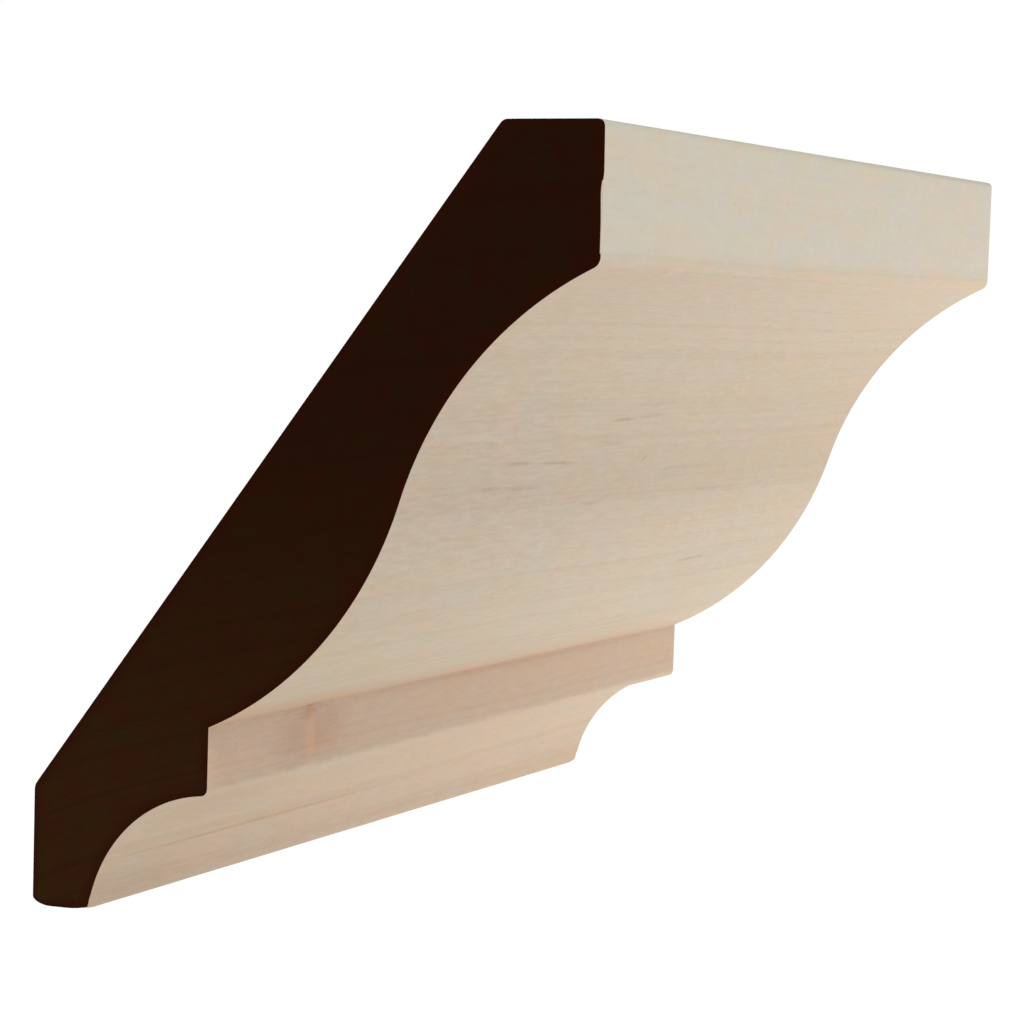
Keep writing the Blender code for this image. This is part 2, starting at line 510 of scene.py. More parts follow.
# %% Shade and link the piece
SHARP_ABOVE = math.radians(35.0)
mesh.shade_smooth()
mesh.set_sharp_from_angle(angle=SHARP_ABOVE)
mesh.validate()
mesh.update()
moulding = bpy.data.objects.new("moulding", mesh)
bpy.context.collection.objects.link(moulding)
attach(moulding, "root")
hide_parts("crown_moulding")
triangles = 2 * len(quads) + len(tips)
print(f"The piece has {triangles} triangles")

# %% [markdown]
# ## Growth rings
# Every finish shows the same tree. The growth lines on the stained end curve gently and lean up towards
# the room, so the heart of the tree lay below and in front of the moulding, about 210 to 290 mm away.
# A ring group measures the distance from that heart, so the lines on the ends run straight on into the
# lines of the face, as they do in wood. Slow noise lets the rings drift and change their width.
#
# A wave texture would also give rings, but it can't hold the slow darkening and sudden stop of each
# year's late wood. The fraction of the ring count, raised to a power, can.

# %% Ring group
HEART = (0.0, -89.0, -204.3)
DRIFT_CLOUD = (120.0, 40.0, 40.0)
YEARS_CHANGE = 0.13
YEARS_SWING = 5.0
LATE_POWER = 4.0
LATE_STOP = 0.90
rings_group, start, end = new_group(
    "growth rings",
    [("Position", "Vector", None), ("Ring Width", "Float", 2.8), ("Drift", "Float", 1.5)],
    [("Late Wood", "Float", None), ("Radius", "Float", None)],
)
tree = rings_group
across = vector_maths(tree, "MULTIPLY", start["Position"], (0.0, 1.0, 1.0))
radius = vector_maths(tree, "DISTANCE", across, HEART, output="Value")
slow = noise(tree, start["Position"], DRIFT_CLOUD)
wander = maths(tree, "MULTIPLY", maths(tree, "SUBTRACT", slow, 0.5), start["Drift"])
drifted = maths(tree, "MULTIPLY_ADD", wander, 2.0, radius)
years_at = {"W": maths(tree, "MULTIPLY", drifted, YEARS_CHANGE), "Detail": 1.0}
uneven_years = add_node(tree, "ShaderNodeTexNoise", years_at, noise_dimensions="1D").outputs["Fac"]
grown = maths(tree, "MULTIPLY_ADD", uneven_years, YEARS_SWING, drifted)
year = maths(tree, "FRACT", maths(tree, "DIVIDE", grown, start["Ring Width"]))
rise = maths(tree, "POWER", year, LATE_POWER)
stop = remapped(tree, year, LATE_STOP, 1.0, 1.0, 0.0)
tree.links.new(maths(tree, "MULTIPLY", rise, stop), end["Late Wood"])
tree.links.new(radius, end["Radius"])
tell("growth rings", tree)

# %% [markdown]
# ## Fibres and clouds
# Maple is fine and close. Under a raking light its face shows hair-thin fibres along the grain, tiny
# vessels like pencil dashes, and soft clouds where the fibres lean. All are noise stretched along x, in
# millimetres, because a real size keeps the grain at the right scale.

# %% Fibre group
# How long, deep and high one streak is
COARSE_FIBRE = (3.2, 0.46, 0.46)
FINE_FIBRE = (0.7, 0.21, 0.21)
VESSEL = (1.0, 0.26, 0.26)
COARSE_SHARE, FINE_SHARE = 0.65, 0.35
VESSEL_FROM, VESSEL_FULL = 0.72, 0.90
VESSEL_DEPTH = 0.6
fibre_group, start, end = new_group(
    "long fibres",
    [("Position", "Vector", None)],
    [("Fibre", "Float", None), ("Vessels", "Float", None), ("Height", "Float", None)],
)
tree = fibre_group
coarse = noise(tree, start["Position"], COARSE_FIBRE, detail=2.0, roughness=0.55)
fine = noise(tree, start["Position"], FINE_FIBRE, detail=1.0)
fibre = maths(tree, "MULTIPLY_ADD", coarse, COARSE_SHARE, maths(tree, "MULTIPLY", fine, FINE_SHARE))
dashes = noise(tree, start["Position"], VESSEL, detail=0.0)
vessels = remapped(tree, dashes, VESSEL_FROM, VESSEL_FULL)
sunk = maths(tree, "MULTIPLY", vessels, VESSEL_DEPTH)
tree.links.new(fibre, end["Fibre"])
tree.links.new(vessels, end["Vessels"])
tree.links.new(maths(tree, "SUBTRACT", fibre, sunk), end["Height"])
tell("long fibres", tree)

# %% Cloud group
BROAD_WARM = (9.0, 4.0, 4.0)
BROAD_COOL = (8.0, 3.5, 3.5)
SMALL_MOTTLE = (2.4, 1.2, 1.2)
SMALL_BLUSH = (2.4, 1.3, 1.3)
ELSEWHERE = (310.0, 70.0, -40.0)
BROAD_RANGE = (0.35, 0.65)
SMALL_RANGE = (0.30, 0.70)
cloud_group, start, end = new_group(
    "clouds",
    [("Position", "Vector", None)],
    [("Warm", "Float", None), ("Cool", "Float", None), ("Mottle", "Float", None), ("Blush", "Float", None)],
)
tree = cloud_group
here = start["Position"]
elsewhere = vector_maths(tree, "ADD", here, ELSEWHERE)
for label, place, size, detail, roughness, limits in (
    ("Warm", here, BROAD_WARM, 4.0, 0.70, BROAD_RANGE),
    ("Cool", elsewhere, BROAD_COOL, 4.0, 0.70, BROAD_RANGE),
    ("Mottle", elsewhere, SMALL_MOTTLE, 2.0, 0.60, SMALL_RANGE),
    ("Blush", here, SMALL_BLUSH, 3.0, 0.65, SMALL_RANGE),
):
    cloud = noise(tree, place, size, detail, roughness)
    tree.links.new(remapped(tree, cloud, *limits), end[label])
tell("clouds", tree)

# %% [markdown]
# ## Flecks and painted shade
# A few marks lie in the wood itself: short mineral flecks on the cyma, a pale bar with a dark halo and a
# knot at its head on the low fillet, one dark growth line low in the cove, and some broad patches of
# pinker, paler or tanner wood. The others are painted shade: a thin line along the arris over the cyma, a
# line in the inner corner over the low fillet, and greyer patches near the stained end and under the far
# swell of the cyma. Each is an ellipsoid that the surface cuts through, so a mark is a distance from a
# centre, divided by three radii. Only the face's finish uses them, so none shows up on the back by accident.

# %% Fleck group
RAGGED_CLOUD = (1.6, 0.25, 0.25)
RAGGED_SWING = 3.0
SOLID_WITHIN = 0.2
# The same group also draws the lines and patches of painted shade in the face
fleck_and_shade_group, start, end = new_group(
    "fleck",
    [("Position", "Vector", None), ("Centre", "Vector", None), ("Radii", "Vector", None),
     ("Tilt", "Float", 0.0), ("Ragged", "Float", 0.35)],
    [("Mask", "Float", None)],
)
tree = fleck_and_shade_group
offset = vector_maths(tree, "SUBTRACT", start["Position"], start["Centre"])
split = add_node(tree, "ShaderNodeSeparateXYZ", {0: offset}).outputs
levelled = maths(tree, "SUBTRACT", split["Z"], maths(tree, "MULTIPLY", split["X"], start["Tilt"]))
joined = add_node(tree, "ShaderNodeCombineXYZ", {"X": split["X"], "Y": split["Y"], "Z": levelled}).outputs[0]
away = vector_maths(tree, "LENGTH", vector_maths(tree, "DIVIDE", joined, start["Radii"]), output="Value")
broken = maths(tree, "SUBTRACT", noise(tree, start["Position"], RAGGED_CLOUD, detail=3.0), 0.5)
swing = maths(tree, "MULTIPLY", start["Ragged"], RAGGED_SWING)
rough_away = maths(tree, "MULTIPLY_ADD", broken, swing, away)
tree.links.new(remapped(tree, rough_away, SOLID_WITHIN, 1.0, 1.0, 0.0), end["Mask"])
tell("fleck", tree)


# %% [markdown]
# ## Bare maple, with some painted light
# The colour changes from the heart outwards: a pinker core at the toe, a rosy band at the low fillet,
# cream over the cyma, and paler, greyer sapwood over the top fillet. These bands are partly the wood's own
# colour and partly painted light. The pale, cool band over the top fillet is partly a painted highlight of
# the high cool light, and the rosy band at the low fillet is partly painted shade and warm bounce under the
# cyma.
# A ramp over the distance from the heart holds those bands, so they run through the wood to the back as
# well. Late wood, fibres, vessels and clouds then each tint it a little. They multiply the colour, because a
# dark line in a pale band and in a rosy band is the same line.

# %% Colours of the wood, with some painted light
FIRST_RADIUS = 210.0
LAST_RADIUS = 294.0
# Each band: distance from the heart in mm, colour. The bands from 224.5 to 229.6 mm, at the low fillet,
# are partly painted shade. Those from 275.5 mm, over the top fillet, are partly a painted highlight.
WOOD_AND_LIGHT_BANDS = [
    (213.0, (0.431, 0.305, 0.211, 1.0)),
    (219.0, (0.449, 0.328, 0.231, 1.0)),
    (222.5, (0.449, 0.328, 0.231, 1.0)),
    (224.5, (0.471, 0.326, 0.226, 1.0)),
    (229.6, (0.474, 0.330, 0.230, 1.0)),
    (231.2, (0.440, 0.346, 0.250, 1.0)),
    (242.0, (0.432, 0.338, 0.243, 1.0)),
    (254.0, (0.439, 0.340, 0.245, 1.0)),
    (264.0, (0.433, 0.333, 0.235, 1.0)),
    (272.8, (0.444, 0.342, 0.246, 1.0)),
    (274.8, (0.459, 0.354, 0.256, 1.0)),
    (275.5, (0.566, 0.458, 0.346, 1.0)),
    (276.7, (0.587, 0.514, 0.428, 1.0)),
]
WARM_TINT = (1.035, 0.985, 0.900, 1.0)
COOL_TINT = (0.955, 1.008, 1.020, 1.0)
MOTTLE_TINT = (0.982, 0.984, 0.955, 1.0)
BLUSH_TINT = (1.018, 0.955, 0.975, 1.0)
LATE_TINT = (0.800, 0.740, 0.680, 1.0)
SAPWOOD_FROM, SAPWOOD_FULL = 274.0, 277.0
BLUSH_INSIDE, BLUSH_MORE = 0.5, 1.25
SAPWOOD_FADES = -0.65
FIBRE_GAIN = 8.0
VESSEL_SHARE = 0.35
print(f"{len(WOOD_AND_LIGHT_BANDS)} bands of colour from {FIRST_RADIUS:.0f} to {LAST_RADIUS:.0f} mm from the heart")


# %% Bare maple group, with painted light in its bands
def tinted(tree, colour, mask, tint, share=1.0):
    """The colour multiplied by a tint where the mask is, up to a share of it."""
    factor = mask if share == 1.0 else maths(tree, "MULTIPLY", mask, share)
    return mixed(tree, factor, colour, mixed(tree, 1.0, colour, tint, blend="MULTIPLY"))


maple_and_light_group, start, end = new_group(
    "bare maple and painted light",
    [("Position", "Vector", None), ("Late Wood", "Float", 0.5), ("Contrast", "Float", 0.03)],
    [("Colour", "Color", None), ("Fibre", "Float", None), ("Height", "Float", None)],
)
tree = maple_and_light_group
rings = use_group(tree, rings_group, Position=start["Position"])
fibres = use_group(tree, fibre_group, Position=start["Position"])
clouds = use_group(tree, cloud_group, Position=start["Position"])
outwards = {"Value": rings["Radius"], "From Min": FIRST_RADIUS, "From Max": LAST_RADIUS}
along_ramp = add_node(tree, "ShaderNodeMapRange", outwards).outputs["Result"]
# The ramp mixes the wood's own bands with a painted highlight over the top fillet and painted shade at the
# low fillet
ramp_node = add_node(tree, "ShaderNodeValToRGB", {"Fac": along_ramp})
stops = ramp_node.color_ramp.elements
while len(stops) < len(WOOD_AND_LIGHT_BANDS):
    stops.new(0.5)
for stop, (band_radius, band_colour) in zip(stops, WOOD_AND_LIGHT_BANDS):
    stop.position = (band_radius - FIRST_RADIUS) / (LAST_RADIUS - FIRST_RADIUS)
    stop.color = band_colour
colour = tinted(tree, ramp_node.outputs["Color"], clouds["Warm"], WARM_TINT)
colour = tinted(tree, colour, clouds["Cool"], COOL_TINT)
colour = tinted(tree, colour, clouds["Mottle"], MOTTLE_TINT)
sapwood = remapped(tree, rings["Radius"], SAPWOOD_FROM, SAPWOOD_FULL)
blushing = maths(tree, "MULTIPLY_ADD", sapwood, BLUSH_MORE, BLUSH_INSIDE)
colour = tinted(tree, colour, maths(tree, "MULTIPLY", clouds["Blush"], blushing), BLUSH_TINT)
faded = maths(tree, "MULTIPLY_ADD", sapwood, SAPWOOD_FADES, 1.0)
late = maths(tree, "MULTIPLY", maths(tree, "MULTIPLY", rings["Late Wood"], start["Late Wood"]), faded)
colour = tinted(tree, colour, late, LATE_TINT)
contrast = maths(tree, "MULTIPLY", start["Contrast"], faded)
centred = maths(tree, "MULTIPLY", maths(tree, "SUBTRACT", fibres["Fibre"], 0.5), contrast)
shade = maths(tree, "MULTIPLY_ADD", centred, FIBRE_GAIN, 1.0)
grey = add_node(tree, "ShaderNodeCombineColor", {0: shade, 1: shade, 2: shade}).outputs[0]
colour = mixed(tree, 1.0, colour, grey, blend="MULTIPLY")
colour = tinted(tree, colour, fibres["Vessels"], LATE_TINT, VESSEL_SHARE)
tree.links.new(colour, end["Colour"])
tree.links.new(fibres["Fibre"], end["Fibre"])
tree.links.new(fibres["Height"], end["Height"])
tell("bare maple and painted light", tree)

# %% [markdown]
# ## The sanded face
# Sanded maple is matt. Roughness and a very shallow bump come from the same fibres as the colour, so
# that the shine breaks along the grain. The marks of the wood and a few marks of painted shade are laid
# over it one by one.


# %% Face finish
def position_in_mm(tree):
    """The place on the piece, in millimetres."""
    place = add_node(tree, "ShaderNodeTexCoord").outputs["Object"]
    return vector_maths(tree, "MULTIPLY", place, (1.0 / MM, 1.0 / MM, 1.0 / MM))


def new_finish(name):
    """A material with its node tree and its Principled shader."""
    material = bpy.data.materials.new(name)
    material.use_nodes = True
    tree = material.node_tree
    shader = tree.nodes["Principled BSDF"]
    shader.location = (2300, 0)
    tree.nodes["Material Output"].location = (2600, 0)
    return material, tree, shader


TEXTURE_RANGE = (0.3, 0.7)


def complete(tree, shader, colour, texture, roughness, specular, height, strength, distance):
    """Links colour, roughness and bump. The texture moves roughness from its first value to its second."""
    tree.links.new(colour, shader.inputs["Base Color"])
    tree.links.new(remapped(tree, texture, *TEXTURE_RANGE, *roughness), shader.inputs["Roughness"])
    shader.inputs["Specular IOR Level"].default_value = specular
    bump = add_node(tree, "ShaderNodeBump", {"Strength": strength, "Distance": distance, "Height": height})
    tree.links.new(bump.outputs["Normal"], shader.inputs["Normal"])


def face_out(up):
    """How far the face stands out from the wall at a height above the toe's lowest line, both in mm."""
    chain = face_chain[np.argsort(face_chain[:, 1])] / MM
    return float(np.interp(up, chain[:, 1], chain[:, 0]))


material, tree, shader = new_finish("sanded maple face and painted shade")
position = position_in_mm(tree)
maple = use_group(tree, maple_and_light_group, Position=position, Late_Wood=0.30, Contrast=0.014)
colour = maple["Colour"]

# %% Marks in the face
LAND_MIDDLE_MM = LAND_MIDDLE / MM
DEPTH_FOR_HEIGHT = 6.0
DARK_MARK = (0.80, 0.79, 0.73, 1.0)
BROWN_LINE = (0.84, 0.76, 0.66, 1.0)
# Painted shade: a thin line along the arris between the top fillet and the cyma
ARRIS_SHADE_LINE = (0.995, 0.955, 0.890, 1.0)
# Painted shade: a line in the inner corner over the low fillet
CORNER_SHADE_LINE = (0.90, 0.80, 0.72, 1.0)
PINK_WOOD = (0.990, 0.930, 0.890, 1.0)
TAN_WOOD = (0.955, 0.930, 0.900, 1.0)
PALE_WOOD = (1.100, 1.050, 1.040, 1.0)
# Painted shade: greyer patches near the stained end and under the far swell of the cyma
PAINTED_SHADE = (0.935, 0.950, 0.955, 1.0)
# Each mark: x, height above the toe, half length, half height, tilt, strength, tint
MARKS = [
    (-38.6, 54.76, 5.2, 0.31, -0.030, 1.00, DARK_MARK),
    (-28.8, 54.41, 7.0, 0.31, -0.028, 1.00, DARK_MARK),
    (-43.8, 51.93, 4.2, 0.44, -0.050, 0.60, DARK_MARK),
    (-35.8, 51.60, 5.6, 0.38, -0.010, 0.75, DARK_MARK),
    (-14.7, 59.50, 5.2, 0.34, 0.020, 1.00, DARK_MARK),
    (-7.4, 59.72, 4.8, 0.36, 0.020, 0.55, DARK_MARK),
    (29.6, 38.18, 7.0, 0.34, 0.030, 0.80, DARK_MARK),
    (-3.6, 54.00, 0.9, 0.42, 0.550, 0.75, DARK_MARK),
    (-14.4, 48.72, 4.8, 0.36, -0.020, 0.45, DARK_MARK),
    (1.7, 48.40, 6.8, 0.42, -0.010, 0.34, DARK_MARK),
    (12.0, 52.36, 13.0, 0.44, 0.003, 0.34, DARK_MARK),
    (-15.0, 56.42, 5.4, 0.46, -0.020, 0.55, DARK_MARK),
    (-8.0, 61.33, 6.8, 0.38, 0.005, 0.34, DARK_MARK),
    (22.3, 48.90, 6.2, 0.42, -0.010, 0.28, DARK_MARK),
    (-30.0, 6.20, 44.0, 0.36, -0.003, 0.80, BROWN_LINE),
    # Painted shade along the arris between the top fillet and the cyma, over the whole length
    (0.0, 77.80, 300.0, 0.70, 0.0, 0.50, ARRIS_SHADE_LINE),
    # Painted shade in the inner corner over the low fillet
    (14.0, 23.80, 62.0, 0.95, 0.0, 0.60, CORNER_SHADE_LINE),
    (-58.0, 25.20, 52.0, 2.60, -0.010, 0.90, PINK_WOOD),
    (-58.0, 18.50, 13.0, 4.00, 0.0, 0.70, PALE_WOOD),
    # Painted shade: a greyer patch at the top of the cove near the stained end
    (-60.0, 14.40, 22.0, 3.20, 0.0, 0.60, PAINTED_SHADE),
    (-46.0, 11.60, 18.0, 3.60, 0.0, 1.00, TAN_WOOD),
    # Painted shade: greyer patches at the toe near the stained end and under the far swell of the cyma
    (-62.0, 2.40, 26.0, 3.40, 0.0, 0.90, PAINTED_SHADE),
    (50.0, 35.00, 42.0, 11.00, 0.0, 1.00, PAINTED_SHADE),
]
# Each mark, a fleck or a patch of painted shade, tints the face's colour where its mask is
for x, up, half_length, half_height, tilt, strength, mark_tint in MARKS:
    centre = (x, -face_out(up), up - LAND_MIDDLE_MM)
    radii = (half_length, DEPTH_FOR_HEIGHT * half_height, half_height)
    mask = use_group(tree, fleck_and_shade_group, Position=position, Centre=centre, Radii=radii, Tilt=tilt)["Mask"]
    colour = tinted(tree, colour, mask, mark_tint, strength)
print(f"{len(MARKS)} marks in the face")

# %% Bar on the low fillet
BAR_X = -41.6
bar_up = (cove_top[1] + LOW_FILLET / 2.0) / MM - LAND_MIDDLE_MM
# A brown halo, a pale orange core and a dark knot, each as x and height beside the bar, radii, ragged, tint
BAR_MARKS = [
    (0.0, 0.8, (11.0, 3.0, 5.6), 0.30, (0.91, 0.83, 0.79, 1.0)),
    (0.0, 0.0, (1.7, 2.0, 5.6), 0.25, (1.13, 1.07, 1.00, 1.0)),
    (-0.4, 3.9, (2.0, 2.0, 2.4), 0.30, (0.88, 0.80, 0.66, 1.0)),
]
for beside, above, radii, ragged, mark_tint in BAR_MARKS:
    centre = (BAR_X + beside, -cove_top[0] / MM, bar_up + above)
    mask = use_group(tree, fleck_and_shade_group, Position=position, Centre=centre, Radii=radii, Ragged=ragged)["Mask"]
    colour = tinted(tree, colour, mask, mark_tint)
print(f"The bar stands {BAR_X + LENGTH / MM / 2.0:.1f} mm from the stained end")

# %% Shine and bump of the face
complete(tree, shader, colour, maple["Fibre"], roughness=(0.66, 0.54), specular=0.35,
         height=maple["Height"], strength=0.35, distance=0.02 * MM)
face_and_shade_finish = material
tell("sanded maple face and painted shade", tree)

# %% [markdown]
# ## The planed back
# The back and the two lands are never seen once the moulding is up, so the mill planes them and leaves
# it at that. The wood is the same, a little duller, and the rotary cutter leaves a faint ripple across
# the grain every couple of millimetres.

# %% Back finish
KNIFE_PITCH = 2.4
KNIFE_HEIGHT = 0.35
SCUFF_CLOUD = (5.0, 9.0, 9.0)
SCUFF_SHARE = 0.5
material, tree, shader = new_finish("planed maple back")
position = position_in_mm(tree)
maple = use_group(tree, maple_and_light_group, Position=position, Late_Wood=0.6, Contrast=0.035)
along = add_node(tree, "ShaderNodeSeparateXYZ", {0: position}).outputs["X"]
tooth = maths(tree, "ABSOLUTE", maths(tree, "SINE", maths(tree, "MULTIPLY", along, math.pi / KNIFE_PITCH)))
scuff = noise(tree, position, SCUFF_CLOUD, detail=3.0)
colour = tinted(tree, maple["Colour"], scuff, LATE_TINT, SCUFF_SHARE)
height = maths(tree, "MULTIPLY_ADD", tooth, KNIFE_HEIGHT, maple["Height"])
complete(tree, shader, colour, maple["Fibre"], roughness=(0.72, 0.60), specular=0.35,
         height=height, strength=0.45, distance=0.05 * MM)
back_finish = material
tell("planed maple back", tree)

# %% [markdown]
# ## End grain
# Across the grain the same rings show as lines, crossed by fine rays that point to the heart, with the
# vessels as dots. A saw adds shallow curved scratches. One group makes the rays, the dots and the
# scratches, and both ends use it: the far one bare, the near one under a dark stain.

# %% End grain group
BLADE_CENTRE = (0.0, 60.0, 190.0)
RAYS_PER_RADIAN = 900.0
RAYS_OUTWARDS = 0.25
PORES_PER_MM = 3.4
PORE_CORE, PORE_EDGE = 0.10, 0.26
PORE_DEPTH = 0.5
SCRATCHES_PER_MM = 2.6
end_group, start, end = new_group(
    "end grain",
    [("Position", "Vector", None)],
    [("Rays", "Float", None), ("Pores", "Float", None), ("Saw", "Float", None), ("Height", "Float", None)],
)
tree = end_group
flat = vector_maths(tree, "MULTIPLY", start["Position"], (0.0, 1.0, 1.0))
from_heart = vector_maths(tree, "SUBTRACT", flat, HEART)
split = add_node(tree, "ShaderNodeSeparateXYZ", {0: from_heart}).outputs
turned_by = maths(tree, "MULTIPLY", maths(tree, "ARCTAN2", split["Y"], split["Z"]), RAYS_PER_RADIAN)
outwards = maths(tree, "MULTIPLY", vector_maths(tree, "LENGTH", from_heart, output="Value"), RAYS_OUTWARDS)
polar = add_node(tree, "ShaderNodeCombineXYZ", {"X": turned_by, "Y": outwards}).outputs[0]
rays = add_node(tree, "ShaderNodeTexNoise", {"Vector": polar, "Scale": 1.0, "Detail": 2.0}).outputs["Fac"]
dots = add_node(tree, "ShaderNodeTexVoronoi", {"Vector": flat, "Scale": PORES_PER_MM}).outputs["Distance"]
pores = remapped(tree, dots, PORE_CORE, PORE_EDGE, 1.0, 0.0)
blade = vector_maths(tree, "DISTANCE", flat, BLADE_CENTRE, output="Value")
swept = {"W": maths(tree, "MULTIPLY", blade, SCRATCHES_PER_MM), "Detail": 3.0}
scratch = add_node(tree, "ShaderNodeTexNoise", swept, noise_dimensions="1D").outputs["Fac"]
lowered = maths(tree, "SUBTRACT", scratch, maths(tree, "MULTIPLY", pores, PORE_DEPTH))
tree.links.new(rays, end["Rays"])
tree.links.new(pores, end["Pores"])
tree.links.new(scratch, end["Saw"])
tree.links.new(lowered, end["Height"])
tell("end grain", tree)


# %% Sawn end
def overlaid(tree, colour, mask, share, layer):
    """The colour with a layer of another colour laid over it where the mask is, up to a share."""
    return mixed(tree, maths(tree, "MULTIPLY", mask, share), colour, layer)


SAWN_OUTER = (0.42, 0.31, 0.205, 1.0)
SAWN_INNER = (0.38, 0.26, 0.165, 1.0)
SAWN_PALE = (0.48, 0.38, 0.27, 1.0)
SAWN_LATE = (0.25, 0.15, 0.085, 1.0)
SAWN_RAY = (0.60, 0.47, 0.33, 1.0)
SAWN_PORE = (0.20, 0.12, 0.07, 1.0)
SAWN_EDGE = (0.62, 0.49, 0.34, 1.0)
INNER_RADIUS, OUTER_RADIUS = 225.0, 285.0
RAY_FROM, RAY_FULL, RAY_SHARE = 0.50, 0.70, 0.30
material, tree, shader = new_finish("sawn maple end")
position = position_in_mm(tree)
rings = use_group(tree, rings_group, Position=position)
grain = use_group(tree, end_group, Position=position)
clouds = use_group(tree, cloud_group, Position=position)
edge = add_node(tree, "ShaderNodeAttribute", attribute_name="arris").outputs["Fac"]
heartward = remapped(tree, rings["Radius"], INNER_RADIUS, OUTER_RADIUS, 1.0, 0.0)
colour = mixed(tree, heartward, SAWN_OUTER, SAWN_INNER)
colour = overlaid(tree, colour, clouds["Cool"], share=0.25, layer=SAWN_PALE)
colour = overlaid(tree, colour, rings["Late Wood"], share=0.65, layer=SAWN_LATE)
rays = remapped(tree, grain["Rays"], RAY_FROM, RAY_FULL, new_high=RAY_SHARE)
colour = mixed(tree, rays, colour, SAWN_RAY)
colour = overlaid(tree, colour, grain["Pores"], share=0.45, layer=SAWN_PORE)
colour = overlaid(tree, colour, edge, share=0.25, layer=SAWN_EDGE)
complete(tree, shader, colour, grain["Saw"], roughness=(0.60, 0.75), specular=0.30,
         height=grain["Height"], strength=0.5, distance=0.06 * MM)
sawn_finish = material
tell("sawn maple end", tree)

# %% Stained end
STAIN = (0.0182, 0.0051, 0.0013, 1.0)
STAIN_FOOT = (0.0335, 0.0122, 0.0035, 1.0)
STAIN_DEEP = (0.0110, 0.0036, 0.0012, 1.0)
STAIN_EDGE = (0.0260, 0.0030, 0.0006, 1.0)
REDDER = (1.150, 0.780, 0.900, 1.0)
GREENER = (0.900, 1.220, 0.900, 1.0)
FADE_FROM, FADE_FULL = 60.0, -8.0
STAINED_RAY_FULL, STAINED_RAY_SHARE = 0.80, 0.10
material, tree, shader = new_finish("stained maple end")
position = position_in_mm(tree)
rings = use_group(tree, rings_group, Position=position)
grain = use_group(tree, end_group, Position=position)
clouds = use_group(tree, cloud_group, Position=position)
edge = add_node(tree, "ShaderNodeAttribute", attribute_name="arris").outputs["Fac"]
height = add_node(tree, "ShaderNodeSeparateXYZ", {0: position}).outputs["Z"]
colour = mixed(tree, remapped(tree, height, FADE_FROM, FADE_FULL), STAIN, STAIN_FOOT)
colour = tinted(tree, colour, clouds["Warm"], REDDER)
colour = tinted(tree, colour, clouds["Cool"], GREENER)
colour = overlaid(tree, colour, rings["Late Wood"], share=0.30, layer=STAIN_DEEP)
rays = remapped(tree, grain["Rays"], RAY_FROM, STAINED_RAY_FULL, new_high=STAINED_RAY_SHARE)
colour = mixed(tree, rays, colour, STAIN_DEEP)
colour = overlaid(tree, colour, grain["Pores"], share=0.25, layer=STAIN_DEEP)
colour = overlaid(tree, colour, edge, share=0.60, layer=STAIN_EDGE)
complete(tree, shader, colour, grain["Saw"], roughness=(0.70, 0.85), specular=0.02,
         height=grain["Height"], strength=0.4, distance=0.05 * MM)
stained_finish = material
tell("stained maple end", tree)

for finish_material in (face_and_shade_finish, back_finish, sawn_finish, stained_finish):
    mesh.materials.append(finish_material)
print("Finishes:", ", ".join(slot.name for slot in mesh.materials))

# %% [markdown]
# ## Daylight
# The sample is shown against pure white, in even daylight with no hard shadow. The backdrop is brighter
# than the light that the room sends back to the wood, as in a photograph with a burnt-out background.
# So the world is white to the camera and softer to everything else. One light path node does that, and
# it is easier to hold than a backdrop lit by lamps of its own.
#
# The floor glows a little, because the undersides of the cyma and the cove are the brightest parts.
# A cool light high in the room, on the stained end's side, reaches the top fillet but not the hollows
# under it. A low light beyond the far end brightens the wood along its length.

# %% Room
FLOOR_DROP = 0.25
FLOOR_REACH = 60.0
DOME = 0.586
FLOOR_WHITE = 0.90
FLOOR_GLOW = 0.49

world = bpy.data.worlds.new("even daylight")
bpy.context.scene.world = world
world.use_nodes = True
tree = world.node_tree
seen = add_node(tree, "ShaderNodeLightPath").outputs["Is Camera Ray"]
brightness = add_node(tree, "ShaderNodeMapRange", {"Value": seen, "To Min": DOME, "To Max": 1.0})
sky = tree.nodes["Background"].inputs
tree.links.new(brightness.outputs["Result"], sky["Strength"])
sky["Color"].default_value = (1.0, 1.0, 1.0, 1.0)

# %% Floor
floor_mesh = bpy.data.meshes.new("pale floor")
floor_height = solid_low.z - FLOOR_DROP
corners = FLOOR_REACH * np.array([(-1.0, -1.0), (1.0, -1.0), (1.0, 1.0), (-1.0, 1.0)])
floor_places = np.column_stack([corners, np.full(len(corners), floor_height)])
floor_mesh.from_pydata(floor_places.tolist(), [], [(0, 1, 2, 3)])
floor_material, tree, shader = new_finish("pale floor")
shader.inputs["Base Color"].default_value = (FLOOR_WHITE, FLOOR_WHITE, FLOOR_WHITE, 1.0)
shader.inputs["Roughness"].default_value = 0.9
shader.inputs["Specular IOR Level"].default_value = 0.0
shader.inputs["Emission Color"].default_value = (1.0, 1.0, 1.0, 1.0)
shader.inputs["Emission Strength"].default_value = FLOOR_GLOW
floor_mesh.materials.append(floor_material)
floor = bpy.data.objects.new("pale floor", floor_mesh)
bpy.context.collection.objects.link(floor)
floor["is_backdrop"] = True
print(f"The floor lies {FLOOR_DROP:.2f} m under the moulding")


# %% Lights
def hang_light(name, size, energy, colour, place, target):
    """A round soft light at a place, turned to shine at a target and hidden from the camera."""
    light = bpy.data.lights.new(name, "AREA")
    light.shape = "DISK"
    light.size = size
    light.energy = energy
    light.color = colour
    lamp = bpy.data.objects.new(name, light)
    lamp.visible_camera = False
    lamp.location = place
    lamp.rotation_euler = (Vector(target) - Vector(place)).to_track_quat("-Z", "Y").to_euler()
    bpy.context.collection.objects.link(lamp)
    print(f"{name}: {energy} W")


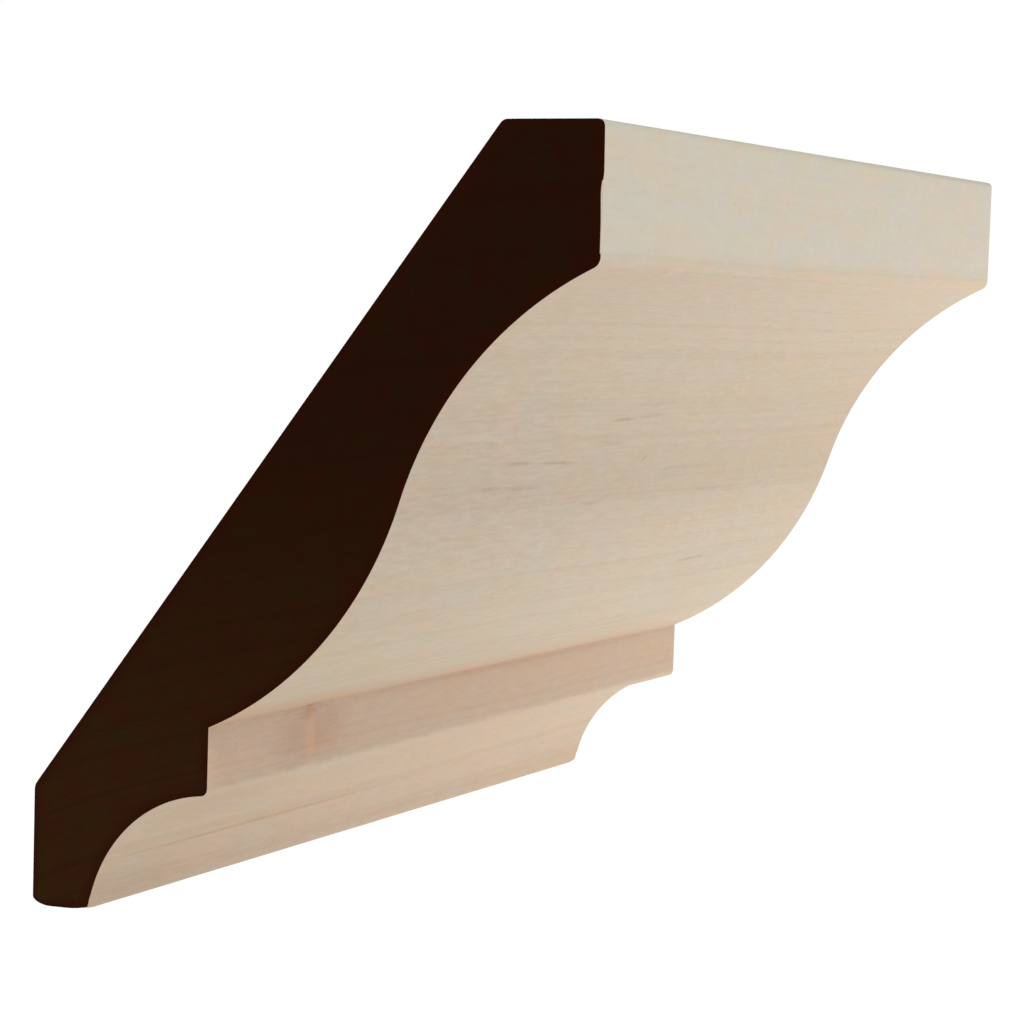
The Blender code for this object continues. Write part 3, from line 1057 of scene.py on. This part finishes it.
hang_light("high cool light", size=0.20, energy=0.81, colour=(0.72, 1.0, 0.95),
           place=(-0.12, -0.27, 0.44), target=(0.0, -0.07, 0.08))
hang_light("low far light", size=0.14, energy=0.164, colour=(0.87, 0.915, 1.0),
           place=(0.12, -0.13, -0.06), target=(0.05, -0.04, 0.03))

# %% [markdown]
# ## The camera
# The view comes from the section itself. Its near and far outlines are two pictures of one shape, which
# fixes where the camera stood, how it was turned and how long its lens was. The camera looks along the
# moulding from its stained end, a little below level, and leans by under two degrees.

# %% Camera
PIXELS_WIDE = 1024
FOCAL_PIXELS = 2654.0
SENSOR = 36.0
CAMERA_PLACE = (-0.31273, -0.19758, 0.06664)
HEADING = math.radians(28.279)
PITCH = math.radians(-4.647)
ROLL = math.radians(-1.847)

level = Vector((math.cos(HEADING), math.sin(HEADING), 0.0))
forward = math.cos(PITCH) * level + Vector((0.0, 0.0, math.sin(PITCH)))
level_right = forward.cross(Vector((0.0, 0.0, 1.0))).normalized()
level_down = forward.cross(level_right)
right = level_right * math.cos(ROLL) + level_down * math.sin(ROLL)
down = level_down * math.cos(ROLL) - level_right * math.sin(ROLL)
turn = Matrix((right, -down, -forward)).transposed()

camera_data = bpy.data.cameras.new("camera")
camera_data.sensor_width = SENSOR
camera_data.lens = FOCAL_PIXELS / PIXELS_WIDE * SENSOR
camera_data.clip_start = 0.01
camera_data.clip_end = 200.0
camera = bpy.data.objects.new("camera", camera_data)
camera.matrix_world = Matrix.Translation(CAMERA_PLACE) @ turn.to_4x4()
bpy.context.collection.objects.link(camera)
scene = bpy.context.scene
scene.camera = camera
scene.view_settings.view_transform = "Standard"
print(f"Lens {camera_data.lens:.1f} mm")

# %% [markdown]
# ## Measure and finish
# The wear and the dulled ends only take wood away, so the piece lies inside the solid it stands for. The
# gaps between its box and the solid's box are printed, at the low and at the high corners.

# %% Measure and finish
piece_low, piece_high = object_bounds()
low_gaps = [round((b - a) / MM, 3) for a, b in zip(solid_low, piece_low)]
high_gaps = [round((b - a) / MM, 3) for a, b in zip(piece_high, solid_high)]
print(f"The piece lies {low_gaps} and {high_gaps} mm inside the low and high corners of its solid's box")
